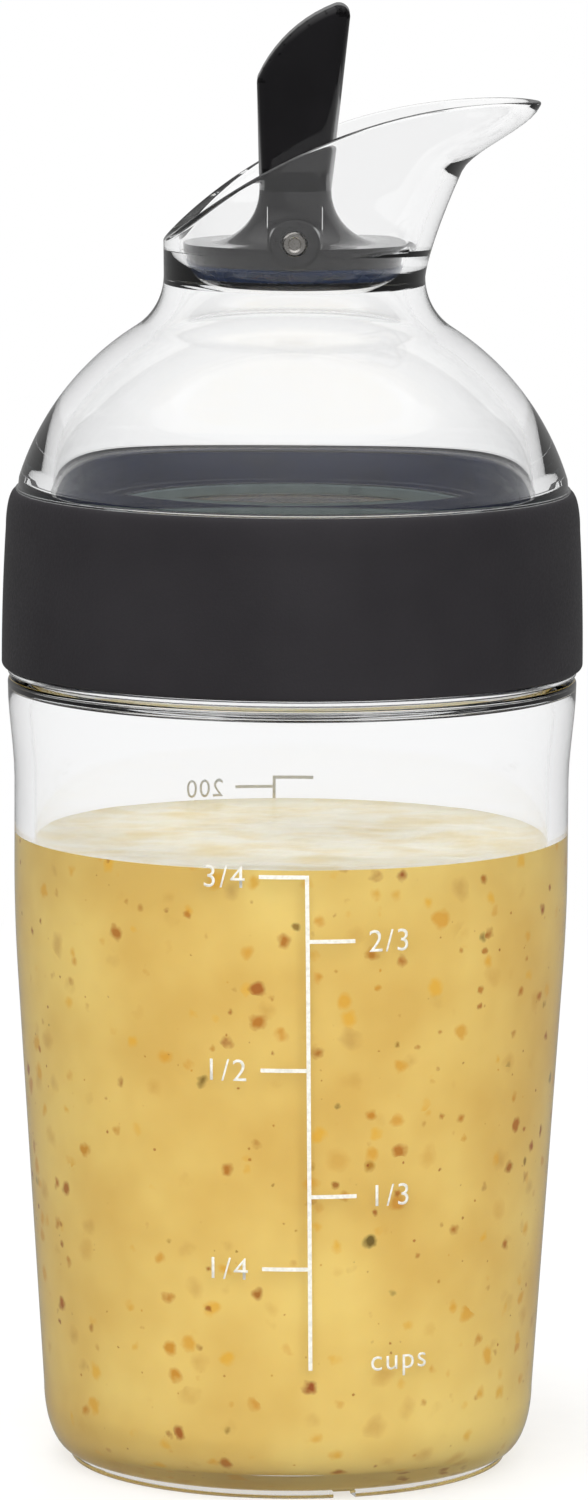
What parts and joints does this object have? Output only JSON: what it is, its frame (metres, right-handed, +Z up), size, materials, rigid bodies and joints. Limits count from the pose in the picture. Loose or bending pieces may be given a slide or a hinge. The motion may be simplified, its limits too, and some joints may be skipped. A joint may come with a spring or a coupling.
{
  "type": "salad dressing shaker bottle",
  "caption": "Clear screw-top shaker bottle with a black grip collar, domed lid, open pouring spout and a tilting flap valve worked by a thumb lever.",
  "frame": {"origin": "centre of the foot ring, on the surface the bottle stands on", "axes": "+Z up along the cup's axis, +X towards the pouring spout, the lever's pin lies along Y"},
  "size_m": [0.067, 0.067, 0.1687],
  "materials": {
    "clear_cup": "clear, polished",
    "dressing": "creamy opaque liquid with specks",
    "gasket": "translucent silicone",
    "clear_lid": "clear, polished",
    "hard_ring": "glossy black",
    "soft_grip": "matte black, fine grain",
    "pin_steel": "turned stainless steel",
    "lever_black": "glossy black",
    "seal": "dark blue-black silicone"
  },
  "bodies": {
    "cup": {"cup": "clear_cup", "dressing": "dressing"},
    "gasket": {"lid_gasket": "gasket"},
    "collar": {"collar_ring": "hard_ring"},
    "lid": {"lid_shell": "clear_lid", "grip_band": "soft_grip", "pivot_pin": "pin_steel"},
    "lever": {"lever": "lever_black", "valve_seal": "seal"}
  },
  "joints": [
    {"name": "lid_lift_off", "type": "slide", "parent": "cup", "child": "gasket", "axis": [0, 0, 1], "range_m": [0, 0.03]},
    {"name": "lid_rise", "type": "slide", "parent": "gasket", "child": "collar", "axis": [0, 0, 1], "range_m": [0, 0.005]},
    {"name": "lid_turn", "type": "hinge", "parent": "collar", "child": "lid", "pos_m": [0, 0, 0.106], "axis": [0, 0, 1], "range_deg": [0, 450]},
    {"name": "lever_pivot", "type": "hinge", "parent": "lid", "child": "lever", "pos_m": [0, 0, 0.1422], "axis": [0, -1, 0], "range_deg": [0, 60]}
  ],
  "couplings": [
    {"joint": "lid_rise", "follows": "lid_turn", "m_per_rad": 0.00063662}
  ]
}
